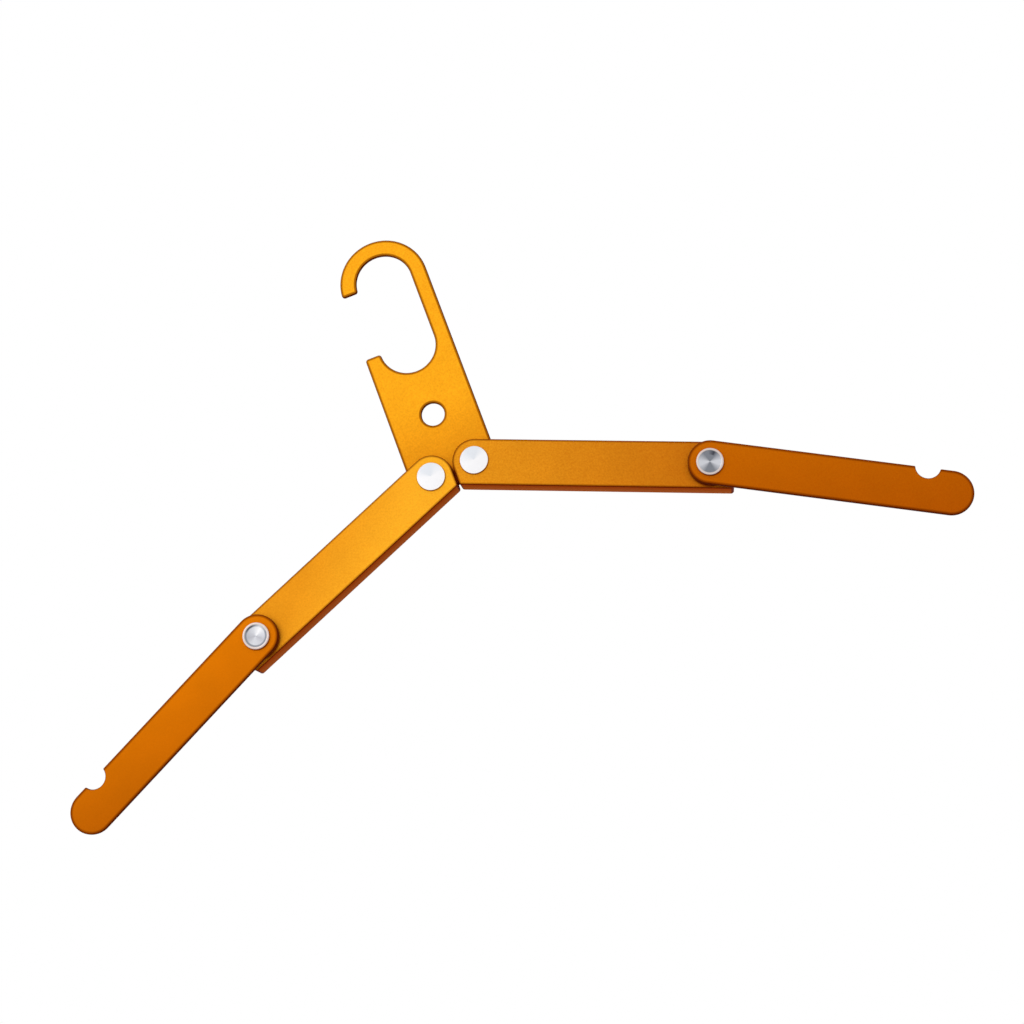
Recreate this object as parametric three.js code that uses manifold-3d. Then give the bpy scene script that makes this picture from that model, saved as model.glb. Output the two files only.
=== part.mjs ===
// Folding travel hanger, opened out for use. A flat hook plate carries two channel arms, and
// each channel arm carries a flat outer arm. All four hinges turn on rivets along Y.
// Folded, the channels swing up and close round the hook plate, and the outer arms lie along
// their fronts.
//
// Millimetres. X runs along the span, -Y is the front and Z is up. The origin is the crown of
// the hook's inside, where the hanger bears on a rod.

import * as THREE from 'three';
import { mergeVertices } from 'three/addons/utils/BufferGeometryUtils.js';
import Module from 'manifold-3d';

const wasm = await Module();
wasm.setup();

// Clearances
const runningGap = 0.3; // between pieces that turn on or rest against each other
const planeGap = 0.5; // from each channel arm to the hanger's middle plane

// Shared layout
const pivotHalfSpacing = 10.4; // inner hinge axes to the middle plane
const armLink = 105.8; // hinge axis to hinge axis, and outer hinge axis to the tip's centre
const innerDroop = THREE.MathUtils.degToRad(22.4); // channel arms below level when open
const outerDroops = {
  left: THREE.MathUtils.degToRad(4.3), // outer arms below their channel arm as left by hand
  right: THREE.MathUtils.degToRad(6.7),
};

// Sheet and finish
const edgeChamfer = 0.4; // broken edges of every plate
const plateThickness = 2; // hook plate and outer arms
const chordError = 0.02; // how far a facet may lie inside its true arc
const cutOverrun = 1; // how far a cutting body stands out of what it cuts

// Channel arms
const channelDepth = 12; // front face to back face
const channelWall = 0.8;
const channelBelowPivot = 11.3; // hinge line to the outside of the web
const channelEndReach = 10.8; // outer hinge axis to the square end
const channelCornerRadius = 1.35;
const channelTopCornerRadius = 8; // keeps the square end hidden behind a drooping outer arm

// Hook plate
const hookInnerRadius = 13.05; // crown of the hook and bottom of its slot
const slotStraight = 32.4; // crown centre down to the slot's lower centre
const crownAbovePivots = 95.9; // inner hinge axes up to the crown centre
const hookTipRise = 0.1; // cut end of the hook above the crown centre
const thumbLipRise = 0.6; // top of the lip above the slot's lower centre
const hookCornerRadius = 1.35;
const holeBelowSlot = 22.05; // bottom of the slot down to the hole's centre
const holeRadius = 5.3;

// Outer arms
const notchFromTip = 11.2; // strap notch to the centre of the round tip
const notchAboveEdge = 0.8; // notch centre outside the arm's top edge
const notchRadius = 5.6;
const notchLipRadius = 0.5;

// Rivets, spacers and washers
const postRadius = 2.5;
const capPinRadius = 1.6; // pin of the cap inside the hollow post
const capPinLength = 3;
const headEdge = 0.15; // broken edge of the flat heads
const innerHeadRadius = 6.35;
const outerHeadRadius = 6.1;
const outerHeadThickness = 0.9;
const outerHeadRim = 1.1; // width of the raised rim round the dish
const outerHeadDish = 0.45; // depth of the dish at its middle
const outerHeadStep = 0.15; // rim above the edge of the dish
const outerHeadEdge = 0.3;
const tailHeadRadius = 4.2;
const tailHeadThickness = 1.2;
const spacerRadius = 6;
const frictionWasherRadius = 8;
const frictionWasherThickness = 0.5;
const backingWasherRadius = 5;
const backingWasherThickness = 0.5;

// Sizes that follow from those above
const crownZ = -hookInnerRadius;
const slotZ = crownZ - slotStraight;
const pivotZ = crownZ - crownAbovePivots;
const holeZ = slotZ - hookInnerRadius - holeBelowSlot;
// The channels' noses and both ends of the outer arms have the same radius.
const armEndRadius = pivotHalfSpacing - planeGap;
const notchAlong = armLink - notchFromTip;
const webInside = channelBelowPivot - channelWall;
const plateHalfWidth = pivotHalfSpacing + webInside - runningGap;
// The plate's foot ends where the two channel webs leave it room at the middle plane.
const webClearance = webInside - runningGap - pivotHalfSpacing * Math.sin(innerDroop);
const plateBelowPivots = webClearance / Math.cos(innerDroop);
const wallOutside = channelDepth / 2;
const wallInside = wallOutside - channelWall;
const plateFace = plateThickness / 2;
const postHoleRadius = postRadius + runningGap;
const boreRadius = capPinRadius + runningGap;
const spacerThickness = wallInside - plateFace - 2 * runningGap;
// The folded outer arm passes over the inner head with the same gap as over the washer.
const innerHeadThickness = frictionWasherThickness;
const outerArmBack = wallOutside + frictionWasherThickness + 2 * runningGap;
const outerArmFront = outerArmBack + plateThickness;

const anodised = { color: '#e8901a', roughness: 0.42, metalness: 0.85 };
const spunAluminium = { color: '#d4d4d2', roughness: 0.3, metalness: 1 };
const nylon = { color: '#e9e6dc', roughness: 0.6, metalness: 0 };
const steel = { color: '#a3a6aa', roughness: 0.4, metalness: 1 };

// The remaining side of a right triangle with this hypotenuse.
function otherSide(hypotenuse, side) {
  return Math.sqrt(hypotenuse ** 2 - side ** 2);
}

// Points of an arc, from one angle to another, as fine as the chord error asks.
function arc(x, z, radius, from, to) {
  const step = 2 * Math.acos(1 - chordError / radius);
  const count = Math.max(2, Math.ceil(Math.abs(to - from) / step));
  const points = [];
  for (let i = 0; i <= count; i += 1) {
    const angle = from + ((to - from) * i) / count;
    points.push(new THREE.Vector2(x + radius * Math.cos(angle), z + radius * Math.sin(angle)));
  }
  return points;
}

function circle(x, z, radius) {
  return arc(x, z, radius, 0, 2 * Math.PI).slice(0, -1);
}

// The rounding of one corner of an outline that is drawn anticlockwise.
function roundCorner(before, corner, after, radius) {
  const backward = before.clone().sub(corner).normalize();
  const forward = after.clone().sub(corner).normalize();
  const half = Math.acos(backward.dot(forward)) / 2;
  const inward = backward.clone().add(forward).normalize();
  const centre = corner.clone().addScaledVector(inward, radius / Math.sin(half));
  const from = backward.angle() + Math.PI / 2;
  return arc(centre.x, centre.y, radius, from, from + Math.PI - 2 * half);
}

// A plate with chamfered edges. The outline is seen from the front, X to the right and Z up.
function plate(outline, holes, front, thickness) {
  const shape = new THREE.Shape(outline);
  shape.holes = holes.map((points) => new THREE.Path(points));
  const geometry = new THREE.ExtrudeGeometry(shape, {
    depth: thickness - 2 * edgeChamfer,
    bevelThickness: edgeChamfer,
    bevelSize: edgeChamfer,
    bevelOffset: -edgeChamfer,
    bevelSegments: 1,
  });
  geometry.rotateX(Math.PI / 2);
  geometry.translate(0, thickness - edgeChamfer - front, 0);
  return geometry;
}

// A body turned round the Y axis from points of radius and Y.
function turned(profile) {
  const points = profile.map(([radius, y]) => new THREE.Vector2(radius, y));
  return new THREE.LatheGeometry(points, 36);
}

function ring(innerRadius, outerRadius, front, thickness) {
  const back = front + thickness;
  const outside = [[innerRadius, front], [outerRadius, front], [outerRadius, back], [innerRadius, back]];
  return turned(innerRadius > 0 ? [...outside, outside[0]] : outside);
}

function toSolid(geometry) {
  const bare = geometry.clone();
  bare.deleteAttribute('normal');
  bare.deleteAttribute('uv');
  const merged = mergeVertices(bare);
  return new wasm.Manifold(new wasm.Mesh({
    numProp: 3,
    vertProperties: new Float32Array(merged.attributes.position.array),
    triVerts: new Uint32Array(merged.index.array),
  }));
}

function toGeometry(solid) {
  const mesh = solid.getMesh();
  const geometry = new THREE.BufferGeometry();
  geometry.setAttribute('position', new THREE.BufferAttribute(mesh.vertProperties, 3));
  geometry.setIndex(new THREE.BufferAttribute(mesh.triVerts, 1));
  const faceted = geometry.toNonIndexed();
  faceted.computeVertexNormals();
  return faceted;
}

function cut(geometry, cutters) {
  const solid = cutters.reduce((left, cutter) => left.subtract(toSolid(cutter)), toSolid(geometry));
  return toGeometry(solid);
}

function mesh(name, geometry, look) {
  const made = new THREE.Mesh(geometry, new THREE.MeshStandardMaterial(look));
  made.name = name;
  return made;
}

// Hook plate: straight sides, a half-round crown, a slot under it that opens to the left
// between the hook's cut end and the thumb lip, a round hole and the two hinge holes.
function hookOutline() {
  const tipCornerZ = crownZ + hookTipRise + hookCornerRadius;
  const tipCornerRise = hookTipRise + hookCornerRadius;
  const tipOuterX = -otherSide(plateHalfWidth - hookCornerRadius, tipCornerRise);
  const tipInnerX = -otherSide(hookInnerRadius + hookCornerRadius, tipCornerRise);
  const lipCornerZ = slotZ + thumbLipRise - hookCornerRadius;
  const lipCornerDrop = hookCornerRadius - thumbLipRise;
  const lipInnerX = -otherSide(hookInnerRadius + hookCornerRadius, lipCornerDrop);
  const lipOuterX = hookCornerRadius - plateHalfWidth;
  const footX = plateHalfWidth - plateBelowPivots;
  const quarter = Math.PI / 2;
  return [
    ...arc(-footX, pivotZ, plateBelowPivots, 2 * quarter, 3 * quarter),
    ...arc(footX, pivotZ, plateBelowPivots, 3 * quarter, 4 * quarter),
    ...arc(0, crownZ, plateHalfWidth, 0, Math.atan2(tipCornerRise, tipOuterX)),
    ...arc(tipOuterX, tipCornerZ, hookCornerRadius,
      Math.atan2(tipCornerRise, tipOuterX), 3 * quarter).slice(1),
    ...arc(tipInnerX, tipCornerZ, hookCornerRadius,
      3 * quarter, 4 * quarter + Math.atan2(-tipCornerRise, -tipInnerX)),
    ...arc(0, crownZ, hookInnerRadius, Math.atan2(tipCornerRise, tipInnerX), 0).slice(1),
    ...arc(0, slotZ, hookInnerRadius, 0, Math.atan2(-lipCornerDrop, lipInnerX)),
    ...arc(lipInnerX, lipCornerZ, hookCornerRadius,
      Math.atan2(lipCornerDrop, -lipInnerX), quarter).slice(1),
    ...arc(lipOuterX, lipCornerZ, hookCornerRadius, quarter, 2 * quarter),
  ];
}

function makeHookPlate() {
  const holes = [
    circle(0, holeZ, holeRadius),
    circle(-pivotHalfSpacing, pivotZ, postHoleRadius),
    circle(pivotHalfSpacing, pivotZ, postHoleRadius),
  ];
  return mesh('hook_plate', plate(hookOutline(), holes, plateFace, plateThickness), anodised);
}

// The outline of a left piece is the right one's, mirrored and drawn the other way round.
function onSide(side, points) {
  if (side > 0) return points;
  return points.map(({ x, y }) => new THREE.Vector2(-x, y)).reverse();
}

// Channel arm: round nose about its hinge, then a flat that meets the other arm at the
// hanger's middle plane and stops the droop, web along the bottom, open top, square end.
function channelOutline() {
  const endX = armLink + channelEndReach;
  const flatStart = Math.PI + innerDroop;
  const nose = arc(0, 0, armEndRadius, Math.PI / 2, flatStart);
  const tangent = nose.at(-1);
  const flatLength = (channelBelowPivot + tangent.y) / Math.cos(innerDroop);
  const heel = new THREE.Vector2(tangent.x + flatLength * Math.sin(innerDroop), -channelBelowPivot);
  const lowerEnd = new THREE.Vector2(endX, -channelBelowPivot);
  const upperEnd = new THREE.Vector2(endX, armEndRadius);
  return [
    ...nose,
    ...roundCorner(tangent, heel, lowerEnd, channelCornerRadius),
    ...roundCorner(heel, lowerEnd, upperEnd, channelCornerRadius),
    ...roundCorner(lowerEnd, upperEnd, nose[0], channelTopCornerRadius),
  ];
}

function makeChannel(side, name) {
  const body = plate(onSide(side, channelOutline()), [], wallOutside, channelDepth);

  const pocketStart = -armEndRadius - cutOverrun;
  const pocketLength = armLink + channelEndReach + cutOverrun - pocketStart;
  const pocketHeight = webInside + armEndRadius + cutOverrun;
  const pocket = new THREE.BoxGeometry(pocketLength, 2 * wallInside, pocketHeight);
  pocket.translate(side * (pocketStart + pocketLength / 2), 0, pocketHeight / 2 - webInside);

  const innerBore = ring(0, postHoleRadius, -wallOutside - cutOverrun, channelDepth + 2 * cutOverrun);
  const outerBore = ring(0, postHoleRadius, -wallOutside - cutOverrun, channelWall + 2 * cutOverrun);
  outerBore.translate(side * armLink, 0, 0);

  return mesh(`${name}_inner_arm`, cut(body, [pocket, innerBore, outerBore]), anodised);
}

// Outer arm: a strip with both ends fully round and a strap notch in its top edge.
function outerArmOutline() {
  const lipRise = notchAboveEdge + notchLipRadius;
  const lipReach = otherSide(notchRadius + notchLipRadius, lipRise);
  const lipZ = armEndRadius - notchLipRadius;
  const quarter = Math.PI / 2;
  return [
    ...arc(0, 0, armEndRadius, quarter, 3 * quarter),
    ...arc(armLink, 0, armEndRadius, -quarter, quarter),
    ...arc(notchAlong + lipReach, lipZ, notchLipRadius, quarter, Math.atan2(lipRise, -lipReach)),
    ...arc(notchAlong, armEndRadius + notchAboveEdge, notchRadius,
      Math.atan2(-lipRise, lipReach), Math.atan2(-lipRise, -lipReach)).slice(1),
    ...arc(notchAlong - lipReach, lipZ, notchLipRadius, Math.atan2(lipRise, lipReach), quarter).slice(1),
  ];
}

function makeOuterArm(side, name) {
  const holes = [circle(0, 0, postHoleRadius)];
  const outline = onSide(side, outerArmOutline());
  return mesh(`${name}_outer_arm`, plate(outline, holes, outerArmFront, plateThickness), anodised);
}

// A rivet is a hollow post with a head in front, closed by a cap whose pin fills the post.
// The head's profile runs from the axis at the front to the rim at the back.
function rivetPost(headProfile, headBack, postEnd) {
  return turned([
    ...headProfile,
    [postRadius, headBack],
    [postRadius, postEnd],
    [boreRadius, postEnd],
    [boreRadius, postEnd - capPinLength],
    [0, postEnd - capPinLength],
  ]);
}

function rivetCap(headRadius, headThickness, headFront) {
  return turned([
    [0, headFront - capPinLength],
    [capPinRadius, headFront - capPinLength],
    [capPinRadius, headFront],
    [headRadius, headFront],
    [headRadius, headFront + headThickness - headEdge],
    [headRadius - headEdge, headFront + headThickness],
    [0, headFront + headThickness],
  ]);
}

// Inner hinge: flat head in front, cap behind, and a spacer on either side of the hook plate.
function makeInnerHinge(name) {
  const headBack = -wallOutside - runningGap;
  const headFront = headBack - innerHeadThickness;
  const head = [
    [0, headFront],
    [innerHeadRadius - headEdge, headFront],
    [innerHeadRadius, headFront + headEdge],
    [innerHeadRadius, headBack],
  ];
  const capFront = wallOutside + runningGap;
  return [
    mesh(`${name}_inner_rivet`, rivetPost(head, headBack, wallOutside), spunAluminium),
    mesh(`${name}_inner_rivet_cap`, rivetCap(innerHeadRadius, innerHeadThickness, capFront), spunAluminium),
  ];
}

function makeSpacers(side, name) {
  const spacers = [
    mesh(`${name}_front_spacer`,
      ring(postHoleRadius, spacerRadius, -plateFace - runningGap - spacerThickness, spacerThickness), nylon),
    mesh(`${name}_back_spacer`,
      ring(postHoleRadius, spacerRadius, plateFace + runningGap, spacerThickness), nylon),
  ];
  spacers.forEach((spacer) => spacer.position.set(side * pivotHalfSpacing, 0, pivotZ));
  return spacers;
}

// Outer hinge: dished head on the outer arm, drag washer behind the arm, and a backing
// washer and a low cap inside the channel, clear of the folded hook plate.
function makeOuterHinge(name) {
  const headBack = -outerArmFront - runningGap;
  const headFront = headBack - outerHeadThickness;
  const dishRadius = outerHeadRadius - outerHeadEdge - outerHeadRim;
  const head = [
    [0, headFront + outerHeadDish],
    [dishRadius - outerHeadStep, headFront + outerHeadStep],
    [dishRadius, headFront],
    [outerHeadRadius - outerHeadEdge, headFront],
    [outerHeadRadius, headFront + outerHeadEdge],
    [outerHeadRadius, headBack],
  ];
  const drag = -wallOutside - runningGap - frictionWasherThickness;
  const backing = -wallInside + runningGap;
  const postEnd = backing + backingWasherThickness;
  const capFront = postEnd + runningGap;
  return [
    mesh(`${name}_outer_rivet`, rivetPost(head, headBack, postEnd), spunAluminium),
    mesh(`${name}_outer_rivet_cap`, rivetCap(tailHeadRadius, tailHeadThickness, capFront), spunAluminium),
    mesh(`${name}_friction_washer`,
      ring(postHoleRadius, frictionWasherRadius, drag, frictionWasherThickness), nylon),
    mesh(`${name}_backing_washer`,
      ring(postHoleRadius, backingWasherRadius, backing, backingWasherThickness), steel),
  ];
}

// One whole arm, hinged at the hook plate. Turning about +Y lowers the right arm.
function makeArm(side, name) {
  const outer = new THREE.Group();
  outer.rotation.y = side * outerDroops[name];
  outer.add(makeOuterArm(side, name));

  const outerHinge = new THREE.Group();
  outerHinge.position.x = side * armLink;
  outerHinge.add(...makeOuterHinge(name), outer);

  const inner = new THREE.Group();
  inner.position.set(side * pivotHalfSpacing, 0, pivotZ);
  inner.rotation.y = side * innerDroop;
  inner.add(makeChannel(side, name), ...makeInnerHinge(name), outerHinge);
  return inner;
}

const hanger = new THREE.Group();
hanger.add(makeHookPlate());
for (const [side, name] of [[-1, 'left'], [1, 'right']]) {
  hanger.add(...makeSpacers(side, name), makeArm(side, name));
}

export default hanger;
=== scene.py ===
import math

import bpy
from mathutils import Matrix, Vector


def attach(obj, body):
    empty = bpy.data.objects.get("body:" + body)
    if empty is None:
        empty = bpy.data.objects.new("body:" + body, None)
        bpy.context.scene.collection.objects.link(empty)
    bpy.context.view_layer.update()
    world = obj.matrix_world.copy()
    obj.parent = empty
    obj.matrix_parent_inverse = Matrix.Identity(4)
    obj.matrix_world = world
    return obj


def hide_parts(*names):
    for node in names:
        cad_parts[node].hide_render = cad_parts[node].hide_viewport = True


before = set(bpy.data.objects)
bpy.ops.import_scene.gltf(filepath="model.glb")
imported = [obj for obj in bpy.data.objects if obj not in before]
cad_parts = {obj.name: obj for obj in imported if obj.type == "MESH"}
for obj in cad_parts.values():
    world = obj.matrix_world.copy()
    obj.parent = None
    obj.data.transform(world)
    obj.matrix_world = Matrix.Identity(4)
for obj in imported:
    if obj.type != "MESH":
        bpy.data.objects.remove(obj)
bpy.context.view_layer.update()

bpy.context.scene.view_settings.view_transform = "Standard"


# Hook plate. One flat 2 mm aluminium plate, cut to a hook with a long slot under it, a round
# hole and the two holes of the inner hinges. Its edges are rounded by tumbling, and then it is
# blasted with fine beads and anodised orange.
hands = ((-1, "left"), (1, "right"))
plate_thickness = 0.002
edge_rounding = 0.00055
running_gap = 0.0003
pivot_half_spacing = 0.0104
web_inside = 0.0105
inner_droop = math.radians(22.4)
hook_inner_radius = 0.01305
hook_half_width = pivot_half_spacing + web_inside - running_gap
slot_below_crown = 0.0324
pivots_below_crown = 0.0959
hole_below_slot = 0.02205
crown_z = -hook_inner_radius
slot_z = crown_z - slot_below_crown
pivot_z = crown_z - pivots_below_crown
round_hole_z = slot_z - hook_inner_radius - hole_below_slot
round_hole_radius = 0.0053
post_hole_radius = 0.0028
hook_tip_rise = 0.0001
thumb_lip_rise = 0.0006
hook_corner_radius = 0.00135
foot_radius = (web_inside - running_gap
               - pivot_half_spacing * math.sin(inner_droop)) / math.cos(inner_droop)
hook_border = 0.00078
cut_overrun = 0.001
same_place = 0.00001
steps_round = 96
arc_step = math.radians(3)
least_arc_steps = 3
rim_sharpness = math.radians(50)
rim_steps = 4
smooth_below = math.radians(35)


def pick(piece):
    bpy.ops.object.select_all(action="DESELECT")
    piece.select_set(True)
    bpy.context.view_layer.objects.active = piece


def new_piece(name):
    piece = bpy.context.object
    piece.name = name
    piece.data.name = name
    return piece


def start_wire(x, y, z, with_map=True):
    """A wire that starts as one point there and grows from its end."""
    bpy.ops.object.select_all(action="DESELECT")
    bpy.ops.mesh.primitive_plane_add(size=plate_thickness, calc_uvs=with_map, location=(0, 0, 0))
    bpy.ops.object.mode_set(mode="EDIT")
    bpy.ops.mesh.select_mode(type="VERT")
    bpy.ops.mesh.select_all(action="SELECT")
    bpy.ops.mesh.merge(type="CENTER")
    bpy.ops.transform.translate(value=(x, y, z))


def line_by(x, z, y=0):
    bpy.ops.mesh.extrude_vertices_move(TRANSFORM_OT_translate={"value": (x, y, z)})


def arc_round(x, z, angle):
    """Carries the wire on round that centre. A positive angle turns from X up to Z."""
    steps = max(least_arc_steps, math.ceil(abs(angle) / arc_step))
    bpy.ops.mesh.spin(steps=steps, angle=angle, center=(x, 0, z), axis=(0, 1, 0))


def faces_outwards():
    """Turns all faces of the mesh in work outwards, and ends the work on it."""
    bpy.ops.mesh.select_all(action="SELECT")
    bpy.ops.mesh.normals_make_consistent(inside=False)
    bpy.ops.object.mode_set(mode="OBJECT")


def fill_and_thicken(thickness):
    """Closes the wire with a face and pulls that back along Y."""
    bpy.ops.mesh.select_all(action="SELECT")
    bpy.ops.mesh.edge_face_add()
    bpy.ops.mesh.extrude_region_move(TRANSFORM_OT_translate={"value": (0, thickness, 0)})
    faces_outwards()


def cut_away(piece, cutter):
    cut = piece.modifiers.new("cut", "BOOLEAN")
    cut.operation = "DIFFERENCE"
    cut.solver = "EXACT"
    cut.object = cutter
    pick(piece)
    bpy.ops.object.modifier_apply(modifier=cut.name)
    bpy.data.objects.remove(cutter)


def drill(piece, x, z, radius, middle_y, depth):
    """A round hole along Y, right through a piece or wall of that depth and middle."""
    bpy.ops.object.select_all(action="DESELECT")
    bpy.ops.mesh.primitive_cylinder_add(
        vertices=steps_round, radius=radius, depth=depth + 2 * cut_overrun,
        location=(x, middle_y, z), rotation=(math.pi / 2, 0, 0))
    cut_away(piece, bpy.context.object)


def pick_sharp_edges(piece, wanted):
    """Starts work on the piece with those of its sharp edges selected that are wanted."""
    pick(piece)
    bpy.ops.object.mode_set(mode="EDIT")
    bpy.ops.mesh.select_mode(type="EDGE")
    bpy.ops.mesh.select_all(action="DESELECT")
    bpy.ops.mesh.edges_select_sharp(sharpness=rim_sharpness)
    bpy.ops.object.mode_set(mode="OBJECT")
    for edge in piece.data.edges:
        edge.select = edge.select and wanted(edge)
    bpy.ops.object.mode_set(mode="EDIT")


def in_planes(mesh, corners, ys):
    return any(all(abs(mesh.vertices[i].co.y - y) < same_place for i in corners) for y in ys)


def break_edges(piece, width, border, ys):
    """Rounds the rims that lie in the planes of those ys, as a tumbled edge is, and leaves a
    border of that width on the flat faces, where painted shade deepens towards the rim."""
    mesh = piece.data
    pick_sharp_edges(piece, lambda edge: in_planes(mesh, edge.vertices, ys))
    bpy.ops.mesh.bevel(offset_type="OFFSET", offset=width, segments=rim_steps, profile=0.5,
                       affect="EDGES", loop_slide=False)
    if border:
        bpy.ops.mesh.select_all(action="DESELECT")
        bpy.ops.mesh.select_mode(type="FACE")
        bpy.ops.object.mode_set(mode="OBJECT")
        for face in mesh.polygons:
            face.select = in_planes(mesh, face.vertices, ys)
        bpy.ops.object.mode_set(mode="EDIT")
        bpy.ops.mesh.inset(thickness=border, depth=0, use_even_offset=True)
    bpy.ops.object.mode_set(mode="OBJECT")


def smooth_finish(piece):
    """Smooth over the rounded rims, flat over the flat faces."""
    pick(piece)
    bpy.ops.object.shade_smooth_by_angle(angle=smooth_below)
    weights = piece.modifiers.new("flat faces lead", "WEIGHTED_NORMAL")
    weights.keep_sharp = True
    weights.weight = 100
    bpy.ops.object.modifier_apply(modifier=weights.name)


def rims_take(piece, face_finish, rim_finish, borders, lit_rim, lit):
    """The broad blasted faces have one finish, and the cut rims round them another. Both carry
    painted shade by a lightness that is 1 on a face. At the face's border it has the first level
    where the rim is turned away from the light, and the second where it faces that. A rim's
    painted shade falls from its lit level to none in the same way."""
    flat = 0.995
    nearly_flat = 0.95
    shoulder = 0.4
    away_border, lit_border = borders
    piece.data.materials.clear()
    piece.data.materials.append(face_finish)
    piece.data.materials.append(rim_finish)
    if "painted shade lightness" not in piece.data.attributes:
        piece.data.attributes.new("painted shade lightness", "FLOAT", "CORNER")
    lightness = piece.data.attributes["painted shade lightness"].data
    flat_corners, turning = set(), {}
    for face in piece.data.polygons:
        sideways = Vector((face.normal.x, 0, face.normal.z)).normalized()
        facing = 0.5 + 0.5 * sideways.dot(lit)
        if abs(face.normal.y) >= flat:
            flat_corners.update(face.vertices)
        elif abs(face.normal.y) > nearly_flat:
            for vertex in face.vertices:
                turning[vertex] = facing
        else:
            face.material_index = 1
            for corner in face.loop_indices:
                lightness[corner].value = lit_rim * facing
    for face in piece.data.polygons:
        if abs(face.normal.y) > nearly_flat:
            face.material_index = 0
            for corner, vertex in zip(face.loop_indices, face.vertices):
                if vertex not in flat_corners:
                    level = shoulder * turning[vertex]
                elif vertex in turning:
                    level = away_border + (lit_border - away_border) * turning[vertex]
                else:
                    level = 1
                lightness[corner].value = level


def finish_nodes(name):
    material = bpy.data.materials.new(name)
    material.use_nodes = True
    tree = material.node_tree
    tree.nodes.clear()
    shader = tree.nodes.new("ShaderNodeBsdfPrincipled")
    output = tree.nodes.new("ShaderNodeOutputMaterial")
    tree.links.new(shader.outputs["BSDF"], output.inputs["Surface"])
    return material, tree, shader


def noise(tree, vector, scale, detail, roughness=0.5):
    texture = tree.nodes.new("ShaderNodeTexNoise")
    texture.inputs["Scale"].default_value = scale
    texture.inputs["Detail"].default_value = detail
    texture.inputs["Roughness"].default_value = roughness
    tree.links.new(vector, texture.inputs["Vector"])
    return texture.outputs["Fac"]


def rescaled(tree, value, low, high, to_low, to_high):
    spread = tree.nodes.new("ShaderNodeMapRange")
    spread.inputs["From Min"].default_value = low
    spread.inputs["From Max"].default_value = high
    spread.inputs["To Min"].default_value = to_low
    spread.inputs["To Max"].default_value = to_high
    tree.links.new(value, spread.inputs["Value"])
    return spread.outputs["Result"]


def mixed_colour(tree, factor, first, second, blend="MIX"):
    mix = tree.nodes.new("ShaderNodeMix")
    mix.data_type = "RGBA"
    mix.blend_type = blend
    for name, value in (("Factor", factor), ("A", first), ("B", second)):
        socket = next(i for i in mix.inputs if i.name == name and i.enabled)
        if isinstance(value, (tuple, float)):
            socket.default_value = value
        else:
            tree.links.new(value, socket)
    return next(o for o in mix.outputs if o.enabled)


def srgb(red, green, blue):
    """The linear colour of a swatch as a paint chart writes it, 0 to 255."""
    steps = [c / 255 for c in (red, green, blue)]
    linear = [c / 12.92 if c <= 0.04045 else ((c + 0.055) / 1.055) ** 2.4 for c in steps]
    return (*linear, 1.0)


def vector_step(tree, operation, first, second):
    step = tree.nodes.new("ShaderNodeVectorMath")
    step.operation = operation
    for socket, value in ((step.inputs[0], first), (step.inputs[1], second)):
        if isinstance(value, Vector):
            socket.default_value = value
        else:
            tree.links.new(value, socket)
    return step.outputs["Value" if operation in ("DOT_PRODUCT", "DISTANCE") else "Vector"]


def fine_relief(tree, shader, height, strength, distance):
    bump = tree.nodes.new("ShaderNodeBump")
    bump.inputs["Strength"].default_value = strength
    bump.inputs["Distance"].default_value = distance
    tree.links.new(height, bump.inputs["Height"])
    tree.links.new(bump.outputs["Normal"], shader.inputs["Normal"])


def drifting_tone(tree, place, near, far):
    """One swatch at the near place, another at the far one, and an even change between them."""
    near_place, near_swatch = near
    far_place, far_swatch = far
    way = Vector(far_place) - Vector(near_place)
    start = Vector(near_place).dot(way) / way.length_squared
    reached = vector_step(tree, "DOT_PRODUCT", place, way / way.length_squared)
    drift = rescaled(tree, reached, start, start + 1, 0, 1)
    return mixed_colour(tree, drift, srgb(*near_swatch), srgb(*far_swatch))


def painted_shade_tint(tree, lightness, deepest):
    """Painted shade: no change where the lightness is 1, and that deepest tint where it is 0."""
    return mixed_colour(tree, lightness, (*deepest, 1.0), (1.0, 1.0, 1.0, 1.0))


def painted_shadow_line(tree, place, centre, radius, width):
    """A painted shadow line round what sits on a face. Depth counts for more than distance over
    the face, so the line stays on the face of that depth."""
    deeper = 20
    shadow_colour = (0.36, 0.14, 0.1)
    layered = vector_step(tree, "MULTIPLY", place, Vector((1, deeper, 1)))
    x, y, z = centre
    away = vector_step(tree, "DISTANCE", layered, Vector((x, deeper * y, z)))
    clear = rescaled(tree, away, radius, radius + width, 0, 1)
    return painted_shade_tint(tree, clear, shadow_colour)


def painted_strip_shade(tree, place, start, end, deepest_at, width, deepest):
    """Painted shade that deepens towards the edge of a strip, by the distance from its middle line.
    """
    line_start = Vector((start[0], 0, start[1]))
    line = Vector((end[0], 0, end[1])) - line_start
    face_on = vector_step(tree, "MULTIPLY", place, Vector((1, 0, 1)))
    off_start = vector_step(tree, "SUBTRACT", face_on, line_start)
    reached = vector_step(tree, "DOT_PRODUCT", off_start, line / line.length_squared)
    along = vector_step(tree, "MULTIPLY", rescaled(tree, reached, 0, 1, 0, 1), line)
    away = vector_step(tree, "DISTANCE", off_start, along)
    return painted_shade_tint(tree, rescaled(tree, away, deepest_at - width, deepest_at, 1, 0), deepest)


def speckle(tree, pattern, low, high, depths):
    """Darker and lighter by those depths of red, green and blue, as the pattern goes."""
    darker = (*(1 - depth for depth in depths), 1.0)
    lighter = (*(1 + depth for depth in depths), 1.0)
    return mixed_colour(tree, rescaled(tree, pattern, low, high, 0, 1), darker, lighter)


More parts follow.
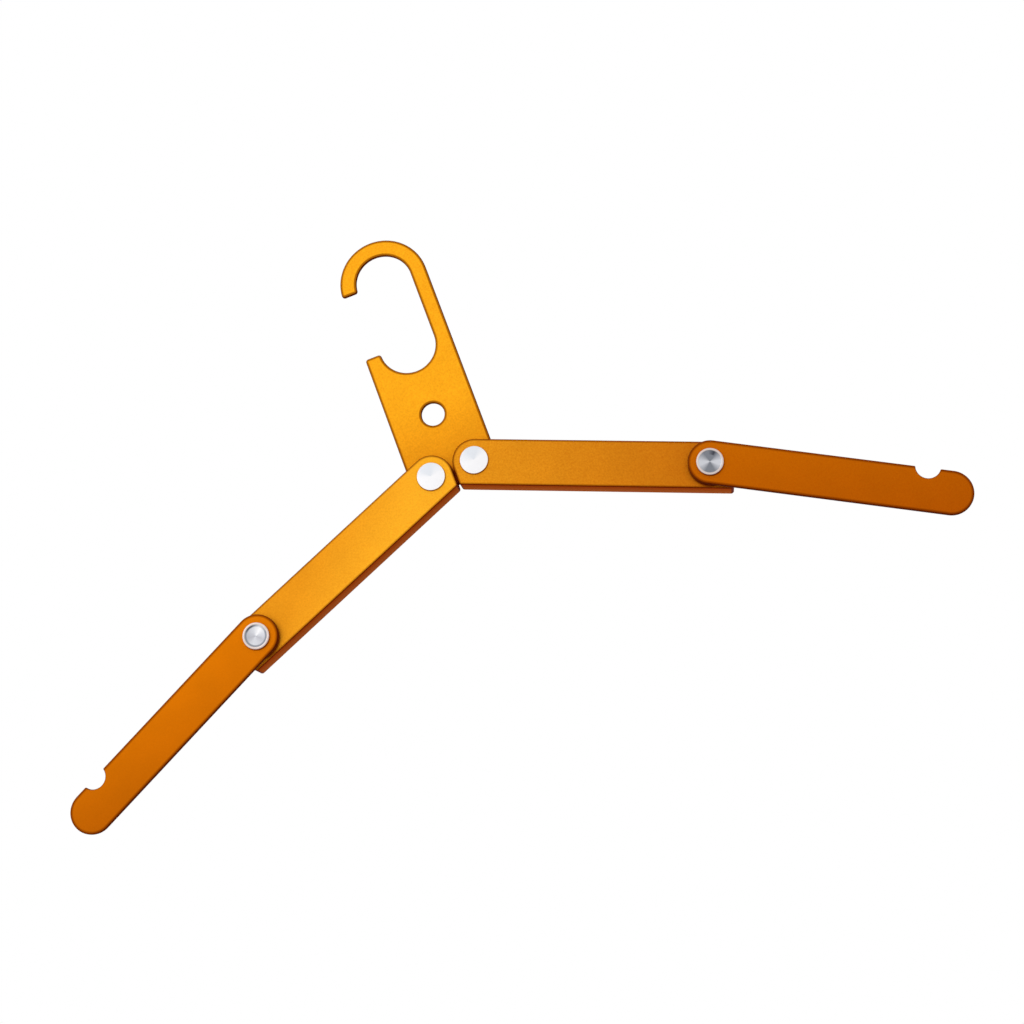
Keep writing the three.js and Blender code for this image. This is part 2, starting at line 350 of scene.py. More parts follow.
def blasted_orange(name, near, far, grain_depth=0.2, lines=(), strip=None, metal=1.0,
                   grazing=(0.75, 0.4, 0.12, 1), deepest=(0.46, 0.32, 0.2)):
    """Bead-blasted and dyed: a tone that drifts along the piece, partly its own dye and partly
    painted light where the lamp's highlight falls, with a faint cloud and fine matte grain,
    painted shade at the borders and painted shadow lines round what sits on it."""
    material, tree, shader = finish_nodes(name)
    place = tree.nodes.new("ShaderNodeTexCoord").outputs["Object"]
    lightness = tree.nodes.new("ShaderNodeAttribute")
    lightness.attribute_name = "painted shade lightness"
    cloud = noise(tree, place, scale=60, detail=3)
    grain = noise(tree, place, scale=1300, detail=2, roughness=0.6)
    grain_depths = (0.5 * grain_depth, 1.2 * grain_depth, 2 * grain_depth)
    # Painted shade at borders and rims, and painted shadow lines, before the real cloud and grain.
    tints = [painted_shade_tint(tree, lightness.outputs["Fac"], deepest)]
    tints += [painted_shadow_line(tree, place, *line) for line in lines]
    if strip:
        tints.append(painted_strip_shade(tree, place, *strip, deepest))
    tints.append(speckle(tree, cloud, low=0.3, high=0.7, depths=(0.03, 0.03, 0.03)))
    tints.append(speckle(tree, grain, low=0.25, high=0.75, depths=grain_depths))
    colour = drifting_tone(tree, place, near, far)
    for tint in tints:
        colour = mixed_colour(tree, 1.0, colour, tint, "MULTIPLY")
    tree.links.new(colour, shader.inputs["Base Color"])
    tree.links.new(rescaled(tree, grain, 0.2, 0.8, 0.6, 0.74), shader.inputs["Roughness"])
    fine_relief(tree, shader, grain, strength=0.4, distance=0.00003)
    shader.inputs["Metallic"].default_value = metal
    shader.inputs["Specular Tint"].default_value = grazing
    shader.inputs["Specular IOR Level"].default_value = 0.5 if metal == 1 else 0.05
    return material


nose_gap = 0.0005
nose_radius = pivot_half_spacing - nose_gap
contact_drop = 0.0004
wide_line = 0.0009
foot_shade_drop = 0.0055
foot_shade_radius = 0.005
foot_shade_width = 0.0025
# Painted shadow lines round the noses on the hook plate, dropped a little below them as a shadow
# from above falls, and painted shade between the noses on both faces of the plate.
nose_lines = [((side * pivot_half_spacing, -plate_thickness / 2, pivot_z - contact_drop),
               nose_radius - contact_drop / 2, wide_line) for side, hand in hands]
foot_shades = [((0, face * plate_thickness / 2, pivot_z - foot_shade_drop),
                foot_shade_radius, foot_shade_width) for face in (-1, 1)]
# The hook's tone grows lighter upwards: partly the dye's own tone, partly painted light from the
# lamp's highlight.
blasted_hook = blasted_orange(
    "Blasted orange, hook", near=((0, 0, -0.094), (243, 168, 28)),
    far=((0, 0, -0.074), (255, 184, 33)), grain_depth=0.18, lines=nose_lines + foot_shades)
brown_grazing = (0.3, 0.08, 0.02, 1)
# The rims' dark brown is a painted shade of the orange dye.
shaded_rim = blasted_orange(
    "Cut rim, painted shade of the orange", near=((-0.2, 0, 0), (165, 88, 30)), far=((0.2, 0, 0), (160, 84, 27)),
    metal=0.2, grazing=brown_grazing, deepest=(0.36, 0.15, 0.05))

tip_rise = hook_tip_rise + hook_corner_radius
tip_outer_x = -math.sqrt((hook_half_width - hook_corner_radius) ** 2 - tip_rise ** 2)
tip_inner_x = -math.sqrt((hook_inner_radius + hook_corner_radius) ** 2 - tip_rise ** 2)
lip_drop = hook_corner_radius - thumb_lip_rise
lip_inner_x = -math.sqrt((hook_inner_radius + hook_corner_radius) ** 2 - lip_drop ** 2)
outer_end = math.atan2(tip_rise, tip_outer_x)
inner_end = math.atan2(tip_rise, tip_inner_x)
lip_end = math.atan2(-lip_drop, lip_inner_x)

start_wire(-hook_half_width, -plate_thickness / 2, pivot_z)
arc_round(foot_radius - hook_half_width, pivot_z, math.pi / 2)
line_by(2 * (hook_half_width - foot_radius), 0)
arc_round(hook_half_width - foot_radius, pivot_z, math.pi / 2)
line_by(0, crown_z - pivot_z)
arc_round(0, crown_z, outer_end)
arc_round(tip_outer_x, crown_z + tip_rise, math.pi * 3 / 2 - outer_end)
line_by(tip_inner_x - tip_outer_x, 0)
arc_round(tip_inner_x, crown_z + tip_rise, inner_end - math.pi / 2)
arc_round(0, crown_z, -inner_end)
line_by(0, slot_z - crown_z)
arc_round(0, slot_z, lip_end)
arc_round(lip_inner_x, slot_z - lip_drop, math.pi / 2 - (lip_end + math.pi))
line_by(hook_corner_radius - hook_half_width - lip_inner_x, 0)
arc_round(hook_corner_radius - hook_half_width, slot_z - lip_drop, math.pi / 2)
fill_and_thicken(plate_thickness)
hook_plate = new_piece("hook_plate_finished")
drill(hook_plate, 0, round_hole_z, round_hole_radius, 0, plate_thickness)
for side, hand in hands:
    drill(hook_plate, side * pivot_half_spacing, pivot_z, post_hole_radius, 0, plate_thickness)
break_edges(hook_plate, edge_rounding, hook_border, (-plate_thickness / 2, plate_thickness / 2))
# Painted shade on the plate's borders and rims, deeper where they turn away from the lamp on the
# upper left.
rims_take(hook_plate, blasted_hook, shaded_rim, borders=(-1.1, -0.2), lit_rim=0.55,
          lit=Vector((-0.8, 0, 0.6)))
smooth_finish(hook_plate)
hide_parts("hook_plate")
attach(hook_plate, "hook")


# Spacers. Four natural nylon rings, two on each inner hinge pin, that hold the hook plate
# midway between the channel's walls and let it swing quietly.
channel_depth = 0.012
channel_wall = 0.0008
spacer_radius = 0.006
spacer_edge = 0.0003
spacer_thickness = channel_depth / 2 - channel_wall - plate_thickness / 2 - 2 * running_gap
face_map_width = 0.02


def turned(name, profile):
    """A piece turned on a lathe: a profile of radius and depth along Y, spun round the Y axis.
    Its map shows it face on."""
    radius, depth = profile[0]
    start_wire(radius, depth, 0, with_map=False)
    for next_radius, next_depth in profile[1:]:
        line_by(next_radius - radius, 0, next_depth - depth)
        radius, depth = next_radius, next_depth
    bpy.ops.mesh.select_all(action="SELECT")
    bpy.ops.mesh.spin(steps=steps_round, angle=2 * math.pi, center=(0, 0, 0), axis=(0, 1, 0))
    bpy.ops.mesh.select_all(action="SELECT")
    bpy.ops.mesh.remove_doubles(threshold=same_place / 2)
    faces_outwards()
    piece = new_piece(name)
    face_map = piece.data.uv_layers.new(name="face on")
    for corner in piece.data.loops:
        place = piece.data.vertices[corner.vertex_index].co / face_map_width
        face_map.data[corner.index].uv = (0.5 + place.x, 0.5 + place.z)
    return piece


def softened_ring(inner, outer, front, thickness, edge):
    back = front + thickness
    return [
        (inner, front + edge), (inner + edge, front), (outer - edge, front), (outer, front + edge),
        (outer, back - edge), (outer - edge, back), (inner + edge, back), (inner, back - edge),
        (inner, front + edge),
    ]


def set_in_place(master, side, x, z, droop, body, node):
    """A copy with its own mesh, mirrored for the left side, turned and moved to its hinge."""
    piece = master.copy()
    piece.data = master.data.copy()
    piece.name = f"{node}_finished"
    piece.data.name = piece.name
    bpy.context.scene.collection.objects.link(piece)
    piece.scale = (side, 1, 1)
    piece.rotation_euler = (0, side * droop, 0)
    piece.location = (side * x, 0, z)
    pick(piece)
    bpy.ops.object.transform_apply(location=True, rotation=True, scale=True)
    bpy.ops.object.mode_set(mode="EDIT")
    faces_outwards()
    smooth_finish(piece)
    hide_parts(node)
    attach(piece, body)


nylon, tree, shader = finish_nodes("Natural nylon")
place = tree.nodes.new("ShaderNodeTexCoord").outputs["Object"]
cloudy = noise(tree, place, scale=400, detail=3)
milky = mixed_colour(tree, cloudy, srgb(226, 220, 204), srgb(240, 236, 224))
tree.links.new(milky, shader.inputs["Base Color"])
fine = noise(tree, place, scale=2500, detail=2)
tree.links.new(rescaled(tree, fine, 0, 1, 0.42, 0.6), shader.inputs["Roughness"])
shader.inputs["Subsurface Weight"].default_value = 0.15
shader.inputs["Subsurface Radius"].default_value = (0.002, 0.002, 0.0015)
shader.inputs["Subsurface Scale"].default_value = 0.5

for face_name, front in (("front", -plate_thickness / 2 - running_gap - spacer_thickness),
                         ("back", plate_thickness / 2 + running_gap)):
    ring = softened_ring(post_hole_radius, spacer_radius, front, spacer_thickness, spacer_edge)
    spacer = turned("spacer", ring)
    spacer.data.materials.append(nylon)
    for side, hand in hands:
        set_in_place(spacer, side, pivot_half_spacing, pivot_z, 0, "hook",
                     f"{hand}_{face_name}_spacer")
    bpy.data.objects.remove(spacer)


# Inner arms. Two lengths of 12 mm aluminium channel, open on top, that straddle the hook plate on
# its hinge pins. The nose is cut round and then straight, where the two arms meet and stop, and the
# far end is square with its upper corner rounded. They are blasted and dyed like the hook plate.
arm_link = 0.1058
arm_end_radius = nose_radius
channel_below_pivot = 0.0113
channel_past_hinge = 0.0108
channel_end = arm_link + channel_past_hinge
channel_corner_radius = 0.00135
channel_top_corner_radius = 0.008
channel_border = 0.0006
inside_corner = 0.0004
outer_hinge_x = pivot_half_spacing + arm_link * math.cos(inner_droop)
outer_hinge_z = pivot_z - arm_link * math.sin(inner_droop)
flat_head_radius = 0.00635

flat_start_x = -arm_end_radius * math.cos(inner_droop)
flat_start_z = -arm_end_radius * math.sin(inner_droop)
flat_length = (channel_below_pivot + flat_start_z) / math.cos(inner_droop)
heel_x = flat_start_x + flat_length * math.sin(inner_droop)
heel_reach = channel_corner_radius * math.tan((math.pi / 2 - inner_droop) / 2)
before_heel = flat_length - heel_reach
low_corner_z = channel_corner_radius - channel_below_pivot
top_corner_z = arm_end_radius - channel_top_corner_radius

start_wire(0, -channel_depth / 2, arm_end_radius)
arc_round(0, 0, math.pi / 2 + inner_droop)
line_by(before_heel * math.sin(inner_droop), -before_heel * math.cos(inner_droop))
arc_round(heel_x + heel_reach, low_corner_z, math.pi / 2 - inner_droop)
line_by(channel_end - channel_corner_radius - heel_x - heel_reach, 0)
arc_round(channel_end - channel_corner_radius, low_corner_z, math.pi / 2)
line_by(0, top_corner_z - low_corner_z)
arc_round(channel_end - channel_top_corner_radius, top_corner_z, math.pi / 2)
fill_and_thicken(channel_depth)
channel = new_piece("channel")
break_edges(channel, edge_rounding, channel_border, (-channel_depth / 2, channel_depth / 2))

pocket_start = -arm_end_radius - cut_overrun
pocket_length = channel_end + cut_overrun - pocket_start
pocket_height = web_inside + arm_end_radius + cut_overrun
bpy.ops.object.select_all(action="DESELECT")
bpy.ops.mesh.primitive_cube_add(
    size=1, location=(pocket_start + pocket_length / 2, 0, pocket_height / 2 - web_inside),
    scale=(pocket_length, channel_depth - 2 * channel_wall, pocket_height))
pocket = bpy.context.object
bpy.ops.object.transform_apply(location=True, rotation=True, scale=True)


def along_pocket_floor(edge):
    first, second = (pocket.data.vertices[i].co for i in edge.vertices)
    return max(abs(first.z + web_inside), abs(second.z + web_inside),
               abs(first.y - second.y)) < same_place


pick_sharp_edges(pocket, along_pocket_floor)
bpy.ops.mesh.bevel(offset=inside_corner, segments=rim_steps, profile=0.5, affect="EDGES")
bpy.ops.object.mode_set(mode="OBJECT")
cut_away(channel, pocket)
drill(channel, 0, 0, post_hole_radius, 0, channel_depth)
drill(channel, arm_link, 0, post_hole_radius, -channel_depth / 2, 2 * channel_wall)

# The downward web is painted in shade: the orange dye darkened as a face turned down from the lamp
# looks, darker towards the front.
shaded_web = blasted_orange(
    "Blasted web, painted shade of the orange", near=((0, -0.0055, 0), (173, 73, 21)),
    far=((0, 0.001, 0), (184, 100, 57)), deepest=(1.0, 1.0, 1.0))
# The bent edges' dark brown is a painted shade of the orange dye.
shaded_bent_edge = blasted_orange(
    "Bent edge, painted shade of the orange", near=((-0.2, 0, 0), (143, 54, 6)), far=((0.2, 0, 0), (141, 51, 5)),
    metal=0.2, grazing=brown_grazing, deepest=(0.72, 0.5, 0.3))
nearly_level = 0.99
arm_light = {hand: Vector((-0.3 * side, 0, 0.95)) for side, hand in hands}
narrow_line = 0.0006
arm_shade_drop = 0.0007
arm_line_inset = 0.0004
# Each arm's near and far swatches are partly the dye's own tone and partly painted light: the left
# arm brighter under the lamp's highlight, the right darker towards its far end.
inner_tones = {
    "left": (((-0.014, 0, -0.1055), (255, 188, 44)),
             ((-0.0356, 0, -0.0847), (242, 166, 33)), 0.16),
    "right": (((0.01, 0, -0.109), (236, 161, 32)),
              ((0.11, 0, -0.15), (211, 124, 19)), 0.23),
}
for side, hand in hands:
    near, far, grain_depth = inner_tones[hand]
    # Painted shadow lines on the channel's front face, round the flat head and below the outer
    # arm's round end, dropped as a shadow from above falls. The rims and borders take painted shade
    # by how they face this arm's light.
    under_head = (side * pivot_half_spacing, -channel_depth / 2, pivot_z - contact_drop / 2)
    under_arm = (side * outer_hinge_x, -channel_depth / 2, outer_hinge_z - arm_shade_drop)
    blasted = blasted_orange(
        f"Blasted orange, {hand} inner arm", near, far, grain_depth,
        lines=[(under_head, flat_head_radius - contact_drop / 2, narrow_line),
               (under_arm, arm_end_radius - arm_line_inset, wide_line)])
    rims_take(channel, blasted, shaded_bent_edge, borders=(0.2, 0.12), lit_rim=0.7,
              lit=arm_light[hand])
    channel.data.materials.append(shaded_web)
    web_faces = [face for face in channel.data.polygons
                 if abs(face.normal.z) > nearly_level and face.center.z < -web_inside / 2]
    for face in web_faces:
        face.material_index = 2
    set_in_place(channel, side, pivot_half_spacing, pivot_z, inner_droop, f"{hand}_inner",
                 f"{hand}_inner_arm")
bpy.data.objects.remove(channel)


# Inner rivets. A turned aluminium post with a flat head in front, closed behind by a cap whose
# pin fills the hollow post. The heads are faced on a lathe and left bright.
post_radius = 0.0025
cap_pin_radius = 0.0016
cap_pin_length = 0.003
bore_radius = cap_pin_radius + running_gap
head_edge = 0.00015
flat_head_thickness = 0.0005


def math_step(tree, operation, first, second):
    step = tree.nodes.new("ShaderNodeMath")
    step.operation = operation
    tree.links.new(first, step.inputs[0])
    tree.links.new(second, step.inputs[1])
    return step.outputs["Value"]


def turned_metal(name, layers):
    """Lathe-faced aluminium, with painted fans of light and shade: painted highlights and
    reflections of the kind its fine rings give. Each layer covers a ring of the face by its
    strength, and its greys are placed by the turn from the left."""
    ring_blur = 0.00024
    material, tree, shader = finish_nodes(name)
    centred = tree.nodes.new("ShaderNodeMapping")
    centred.inputs["Location"].default_value = (-0.5, -0.5, 0)
    tree.links.new(tree.nodes.new("ShaderNodeTexCoord").outputs["UV"], centred.inputs["Vector"])
    off_middle = centred.outputs["Vector"]
    distance = vector_step(tree, "DISTANCE", off_middle, Vector((0, 0, 0)))
    fan = tree.nodes.new("ShaderNodeTexGradient")
    fan.gradient_type = "RADIAL"
    tree.links.new(off_middle, fan.inputs["Vector"])
    colour = (0.8, 0.8, 0.82, 1.0)
    for inside, outside, strength, greys in layers:
        ramp = tree.nodes.new("ShaderNodeValToRGB")
        stops = ramp.color_ramp.elements
        for stop, (turn, grey) in ((stops[0], greys[0]), (stops[1], greys[-1])):
            stop.position, stop.color = turn / 360, srgb(*grey)
        for turn, grey in greys[1:-1]:
            stops.new(turn / 360).color = srgb(*grey)
        tree.links.new(fan.outputs["Fac"], ramp.inputs["Fac"])
        rise, fall = (
            rescaled(tree, distance, (radius - ring_blur) / face_map_width,
                     (radius + ring_blur) / face_map_width, before, after)
            for radius, before, after in ((inside, 0, strength), (outside, 1, 0)))
        cover = math_step(tree, "MULTIPLY", rise, fall)
        colour = mixed_colour(tree, cover, colour, ramp.outputs["Color"])
    rings = tree.nodes.new("ShaderNodeTexWave")
    rings.wave_type = "RINGS"
    rings.rings_direction = "SPHERICAL"
    rings.inputs["Scale"].default_value = 26
    rings.inputs["Distortion"].default_value = 0.4
    tree.links.new(off_middle, rings.inputs["Vector"])
    groove = rings.outputs["Fac"]
    streak = rescaled(tree, groove, 0, 1, 1.0, 0.95)
    darker = tree.nodes.new("ShaderNodeCombineColor")
    for part in ("Red", "Green", "Blue"):
        tree.links.new(streak, darker.inputs[part])
    streaked = mixed_colour(tree, 1.0, colour, darker.outputs["Color"], "MULTIPLY")
    tree.links.new(streaked, shader.inputs["Base Color"])
    tree.links.new(rescaled(tree, groove, 0, 1, 0.3, 0.38), shader.inputs["Roughness"])
    fine_relief(tree, shader, groove, strength=0.1, distance=0.00002)
    shader.inputs["Metallic"].default_value = 1
    return material


def post_behind(head, head_back, post_end):
    """The profile of a whole rivet: its head, then its hollow post."""
    return head + [
        (post_radius, head_back), (post_radius, post_end - head_edge),
        (post_radius - head_edge, post_end), (bore_radius, post_end),
        (bore_radius, post_end - cap_pin_length), (0, post_end - cap_pin_length),
    ]


def cap_profile(radius, thickness, front):
    """A cap that closes the post: its pin, then its low head."""
    pin_end = front - cap_pin_length
    back = front + thickness
    return [
        (0, pin_end), (cap_pin_radius - head_edge, pin_end),
        (cap_pin_radius, pin_end + head_edge), (cap_pin_radius, front),
        (radius - head_edge, front), (radius, front + head_edge), (radius, back - head_edge),
        (radius - head_edge / 3, back - head_edge / 3), (radius - head_edge, back), (0, back),
    ]


# The flat heads' greys are painted reflection: bright all round, cooler in one fan.
whole_face = (-0.001, 0.01, 1.0)
bright_grey = (242, 241, 243)
cool_grey = (223, 226, 232)
faced_bright = turned_metal("Faced aluminium, flat heads", [
    (*whole_face, [(0, bright_grey), (190, bright_grey), (235, cool_grey), (290, cool_grey),
                   (360, bright_grey)]),
])

flat_head_back = -channel_depth / 2 - running_gap
flat_head_front = flat_head_back - flat_head_thickness
flat_head = [
    (0, flat_head_front), (flat_head_radius - head_edge, flat_head_front),
    (flat_head_radius - head_edge / 3, flat_head_front + head_edge / 3),
    (flat_head_radius, flat_head_front + head_edge), (flat_head_radius, flat_head_back),
]
inner_rivet = turned("inner_rivet", post_behind(flat_head, flat_head_back, channel_depth / 2))
inner_cap = turned("inner_cap", cap_profile(flat_head_radius, flat_head_thickness,
                                            channel_depth / 2 + running_gap))
for master in (inner_rivet, inner_cap):
    master.data.materials.append(faced_bright)
for side, hand in hands:
    for master, part in ((inner_rivet, "inner_rivet"), (inner_cap, "inner_rivet_cap")):
        set_in_place(master, side, pivot_half_spacing, pivot_z, 0, f"{hand}_inner",
                     f"{hand}_{part}")
for master in (inner_rivet, inner_cap):
    bpy.data.objects.remove(master)


# Outer arms. Flat 2 mm aluminium strips in front of the channels, with both ends fully round
# and a strap notch in the top edge near the tip. Their orange is deeper than the inner arms' and
# darkens lower down: partly their own deeper dye, partly painted shade away from the lamp.
outer_droops = {"left": math.radians(4.3), "right": math.radians(6.7)}
notch_before_tip = 0.0112
notch_along = arm_link - notch_before_tip
notch_above_edge = 0.0008
notch_radius = 0.0056
notch_lip_radius = 0.0005
strip_rounding = 0.00048
washer_thickness = 0.0005
outer_arm_front = channel_depth / 2 + washer_thickness + 2 * running_gap + plate_thickness
dish_head_radius = 0.0061

lip_z = arm_end_radius - notch_lip_radius
notch_lip_rise = notch_above_edge + notch_lip_radius
notch_lip_reach = math.sqrt((notch_radius + notch_lip_radius) ** 2 - notch_lip_rise ** 2)
notch_slope = math.atan2(notch_lip_rise, notch_lip_reach)
start_wire(0, -outer_arm_front, arm_end_radius)
arc_round(0, 0, math.pi)
line_by(arm_link, 0)
arc_round(arm_link, 0, math.pi)
line_by(notch_along + notch_lip_reach - arm_link, 0)
arc_round(notch_along + notch_lip_reach, lip_z, math.pi / 2 - notch_slope)
arc_round(notch_along, arm_end_radius + notch_above_edge, 2 * notch_slope - math.pi)
arc_round(notch_along - notch_lip_reach, lip_z, math.pi / 2 - notch_slope)
fill_and_thicken(plate_thickness)
strip = new_piece("strip")
drill(strip, 0, 0, post_hole_radius, plate_thickness / 2 - outer_arm_front, plate_thickness)
break_edges(strip, strip_rounding, 0, (-outer_arm_front, plate_thickness - outer_arm_front))

strip_line_inset = 0.0006
# The near and far swatches are partly the arms' own dye and partly painted shade, darker lower
# down, away from the lamp.
outer_tones = {
    "left": (((-0.1126, 0, -0.1405), (233, 136, 7)),
             ((-0.1066, 0, -0.1962), (203, 109, 5)), 0.1),
    "right": (((0.113, 0, -0.1406), (209, 115, 5)),
              ((0.1024, 0, -0.186), (194, 97, 4)), 0.15),
}
for side, hand in hands:
    near, far, grain_depth = outer_tones[hand]
    droop = inner_droop + outer_droops[hand]
    hinge = (side * outer_hinge_x, outer_hinge_z)
    tip = (side * (outer_hinge_x + arm_link * math.cos(droop)),
           outer_hinge_z - arm_link * math.sin(droop))
    # A painted shadow line round the dished head, dropped below it, and painted shade that deepens
    # towards the strip's edges. The rims take painted shade by how they face this arm's light.
    under_head = (side * outer_hinge_x, -outer_arm_front, outer_hinge_z - contact_drop)
    blasted = blasted_orange(
        f"Blasted orange, {hand} outer arm", near, far, grain_depth,
        lines=[(under_head, dish_head_radius - contact_drop, narrow_line)],
        strip=(hinge, tip, arm_end_radius - strip_line_inset, wide_line))
    rims_take(strip, blasted, shaded_rim, borders=(1, 1), lit_rim=1, lit=arm_light[hand])
    set_in_place(strip, side, outer_hinge_x, outer_hinge_z, droop, f"{hand}_outer",
                 f"{hand}_outer_arm")
bpy.data.objects.remove(strip)


# Drag washers. A thin nylon washer between each outer arm and its channel gives the hinge the
# drag that holds the arm where it is left.
friction_washer_radius = 0.008
washer_edge = 0.0001
drag = turned("drag", softened_ring(
    post_hole_radius, friction_washer_radius, -channel_depth / 2 - running_gap - washer_thickness,
    washer_thickness, washer_edge))
drag.data.materials.append(nylon)
for side, hand in hands:
    set_in_place(drag, side, outer_hinge_x, outer_hinge_z, 0, f"{hand}_inner",
                 f"{hand}_friction_washer")
bpy.data.objects.remove(drag)


# Outer rivets. The head has a raised rim round a shallow dish, which a round-nosed tool left.
# The post passes through arm, washer and channel wall to a steel washer and a low cap.
dish_head_thickness = 0.0009
dish_rim = 0.0008
dish_depth = 0.00045
dish_step = 0.00015
dish_edge = 0.0003
tail_head_radius = 0.0042
tail_head_thickness = 0.0012
backing_washer_radius = 0.005

dish_head_back = -outer_arm_front - running_gap
dish_head_front = dish_head_back - dish_head_thickness
dish_radius = dish_head_radius - dish_edge - dish_rim
dish_head = [
    (0, dish_head_front + dish_depth), (dish_radius - dish_step, dish_head_front + dish_step),
    (dish_radius - dish_step / 3, dish_head_front + dish_step / 3),
    (dish_radius + dish_step / 3, dish_head_front),
    (dish_head_radius - dish_edge, dish_head_front),
    (dish_head_radius - dish_edge / 2, dish_head_front + dish_edge / 7),
    (dish_head_radius - dish_edge / 7, dish_head_front + dish_edge / 2),
    (dish_head_radius, dish_head_front + dish_edge), (dish_head_radius, dish_head_back),
]
backing_front = channel_wall - channel_depth / 2 + running_gap
tail_end = backing_front + washer_thickness
outer_rivet = turned("outer_rivet", post_behind(dish_head, dish_head_back, tail_end))
tail_cap = turned("tail_cap", cap_profile(tail_head_radius, tail_head_thickness,
                                          tail_end + running_gap))
backing = turned("backing", softened_ring(post_hole_radius, backing_washer_radius, backing_front,
                                          washer_thickness, washer_edge))

# The dished heads' greys are painted highlights: light and dull fans, a painted shadow crescent
# where the raised rim shades the dish, and a warm rim that is a painted reflection of the orange
# arms.
light_grey = (206, 207, 213)
mid_grey = (178, 178, 185)
dull_grey = (128, 131, 139)
shaded_grey = (52, 52, 62)
warm_grey = (218, 202, 196)
plain_rim = (0.0051, 0.007, 0.95, [(0, warm_grey), (360, warm_grey)])
soft_fans = [
    (0, light_grey), (45, mid_grey), (130, light_grey), (185, mid_grey), (260, light_grey),
    (320, bright_grey), (360, light_grey),
]
shaded_edge = [
    (0, dull_grey), (215, dull_grey), (235, shaded_grey), (265, shaded_grey), (280, dull_grey),
    (310, light_grey), (360, dull_grey),
]
two_fans = [
    (0, light_grey), (45, dull_grey), (95, dull_grey), (140, light_grey), (165, light_grey),
    (210, dull_grey), (285, dull_grey), (335, light_grey), (360, light_grey),
]
shaded_fans = sorted(two_fans + [(225, shaded_grey), (260, dull_grey)])
dished = {
    "left": turned_metal("Dished aluminium, left head", [
        (*whole_face, soft_fans), (0.0042, 0.0051, 0.9, shaded_edge), plain_rim,
    ]),
    "right": turned_metal("Dished aluminium, right head", [
        (*whole_face, two_fans), (0.0031, 0.0049, 0.9, shaded_fans), plain_rim,
    ]),
}
steel, tree, shader = finish_nodes("Washer steel")
place = tree.nodes.new("ShaderNodeTexCoord").outputs["Object"]
mottled = noise(tree, place, scale=900, detail=3)
grey = mixed_colour(tree, mottled, srgb(148, 150, 155), srgb(178, 180, 184))
tree.links.new(grey, shader.inputs["Base Color"])
tree.links.new(rescaled(tree, mottled, 0, 1, 0.3, 0.5), shader.inputs["Roughness"])
shader.inputs["Metallic"].default_value = 1

for side, hand in hands:
    for master, finish, slot, part in (
            (outer_rivet, dished[hand], "rivet_aluminium", "outer_rivet"),
            (tail_cap, faced_bright, "rivet_aluminium", "outer_rivet_cap"),
            (backing, steel, "washer_steel", "backing_washer")):
        master.data.materials.clear()
        master.data.materials.append(finish)
        set_in_place(master, side, outer_hinge_x, outer_hinge_z, 0, f"{hand}_inner",
                     f"{hand}_{part}")
for master in (outer_rivet, tail_cap, backing):
    bpy.data.objects.remove(master)


# Studio. A pale floor far below the hanger, which turns white far off as a studio sweep does, a
# white surround and one large soft lamp. The camera looks up at the hanger from a little below,
# rolled, as the photograph was taken.
floor_z = -1.1
floor_radius = 3
pale_out_to = 1.0
white_from = 2.9
white_share_near = 0.35
bpy.ops.object.select_all(action="DESELECT")
bpy.ops.mesh.primitive_circle_add(vertices=steps_round, radius=floor_radius, fill_type="NGON",
                                  location=(0, 0, floor_z))
floor = new_piece("studio_floor")


def rays_that_show_it(tree):
    """1 for the rays that show the background, straight, in metal or through something clear."""
    rays = tree.nodes.new("ShaderNodeLightPath").outputs
    straight_or_metal = math_step(tree, "MAXIMUM", rays["Is Camera Ray"], rays["Is Glossy Ray"])
    return math_step(tree, "MAXIMUM", straight_or_metal, rays["Is Transmission Ray"])


def either_shader(tree, share, first, second):
    mix = tree.nodes.new("ShaderNodeMixShader")
    tree.links.new(share, mix.inputs["Fac"])
    tree.links.new(first, mix.inputs[1])
    tree.links.new(second, mix.inputs[2])
    return mix.outputs["Shader"]


floor_paint, tree, shader = finish_nodes("Pale floor, white far off")
shader.inputs["Base Color"].default_value = (0.85, 0.85, 0.85, 1)
shader.inputs["Roughness"].default_value = 0.9
surface = shader.outputs["BSDF"].links[0].to_socket
place = tree.nodes.new("ShaderNodeTexCoord").outputs["Object"]
from_middle = vector_step(tree, "DISTANCE", place, Vector((0, 0, 0)))
whiter = rescaled(tree, from_middle, pale_out_to, white_from, white_share_near, 1)
share = math_step(tree, "MULTIPLY", whiter, rays_that_show_it(tree))
white_paint = tree.nodes.new("ShaderNodeEmission").outputs["Emission"]
tree.links.new(either_shader(tree, share, shader.outputs["BSDF"], white_paint), surface)
floor.data.materials.append(floor_paint)

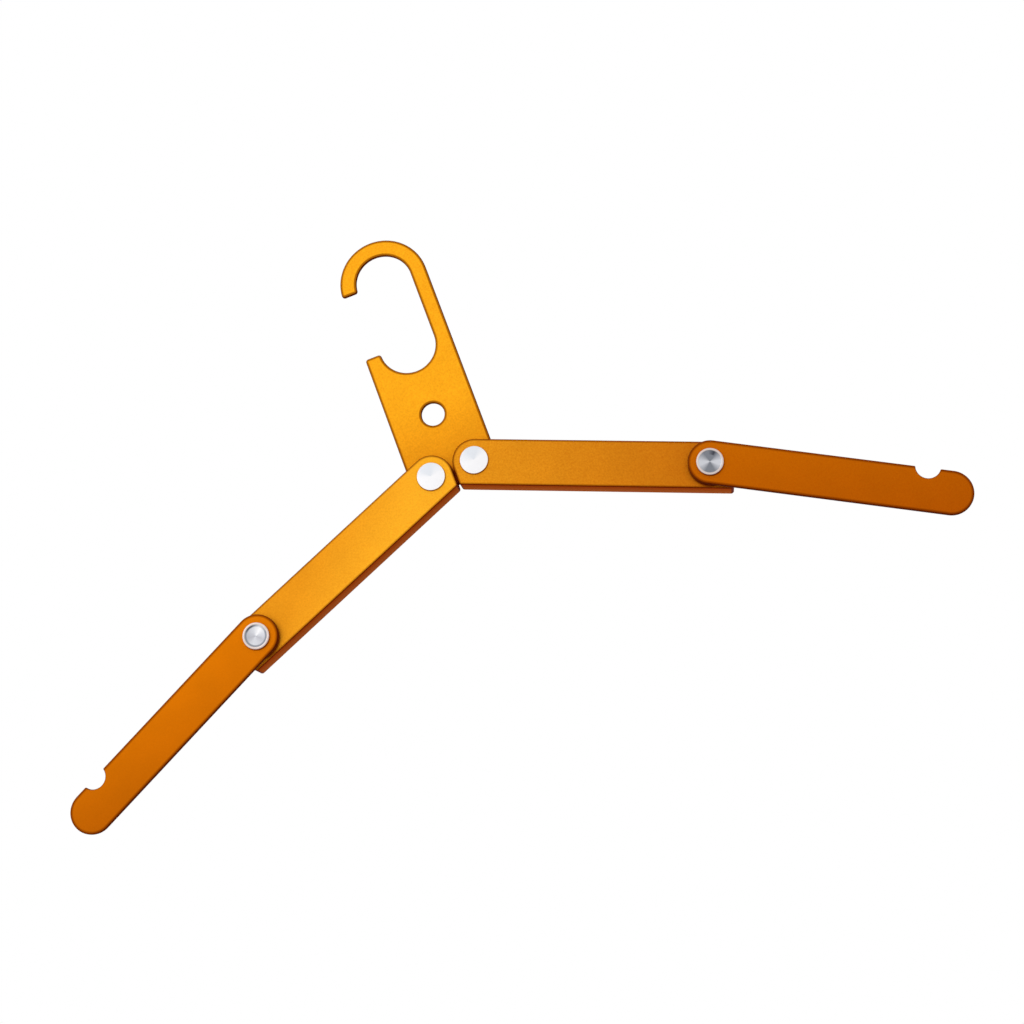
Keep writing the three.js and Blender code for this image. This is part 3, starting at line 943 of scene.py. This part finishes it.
lamp_place = Vector((-0.7, -1.3, 0.7))
lamp_aim = Vector((-0.04, 0, -0.1))
light = bpy.data.lights.new("Key softbox", "AREA")
light.shape = "RECTANGLE"
light.size = 1.0
light.size_y = 1.0
light.energy = 3
lamp = bpy.data.objects.new("Key softbox", light)
bpy.context.scene.collection.objects.link(lamp)
lamp.location = lamp_place
lamp.rotation_mode = "QUATERNION"
lamp.rotation_quaternion = (lamp_aim - lamp_place).to_track_quat("-Z", "Y")

surround = bpy.data.worlds.new("White surround")
surround.use_nodes = True
bpy.context.scene.world = surround
tree = surround.node_tree
tree.nodes.clear()
fill = tree.nodes.new("ShaderNodeBackground")
fill.inputs["Color"].default_value = (0.55, 0.55, 0.55, 1)
white = tree.nodes.new("ShaderNodeBackground")
white.inputs["Color"].default_value = (1, 1, 1, 1)
sky = tree.nodes.new("ShaderNodeOutputWorld")
lit_or_shown = either_shader(tree, rays_that_show_it(tree), fill.outputs["Background"],
                             white.outputs["Background"])
tree.links.new(lit_or_shown, sky.inputs["Surface"])

camera_turn = math.radians(-1.69)
camera_tilt = math.radians(12.5)
camera_roll = math.radians(20.68)
camera_distance = 0.9
shift_across = -0.02976
shift_up = 0.02184
between_hinges = Vector((0, -0.006, pivot_z))
forward = Vector((math.sin(camera_turn) * math.cos(camera_tilt),
                  math.cos(camera_turn) * math.cos(camera_tilt), math.sin(camera_tilt)))
level = Vector((math.cos(camera_turn), -math.sin(camera_turn), 0))
upright = level.cross(forward)
across = math.cos(camera_roll) * level - math.sin(camera_roll) * upright
upward = math.sin(camera_roll) * level + math.cos(camera_roll) * upright
lens = bpy.data.cameras.new("Photograph view")
lens.sensor_width = 36
lens.lens = 70.21
lens.clip_start = 0.01
lens.clip_end = 20
camera = bpy.data.objects.new("Photograph view", lens)
bpy.context.scene.collection.objects.link(camera)
camera.location = between_hinges - camera_distance * (
    shift_across * across + shift_up * upward + forward)
camera.rotation_mode = "QUATERNION"
axes = Matrix([[across[i], upward[i], -forward[i]] for i in range(3)])
camera.rotation_quaternion = axes.to_quaternion()
bpy.context.scene.camera = camera
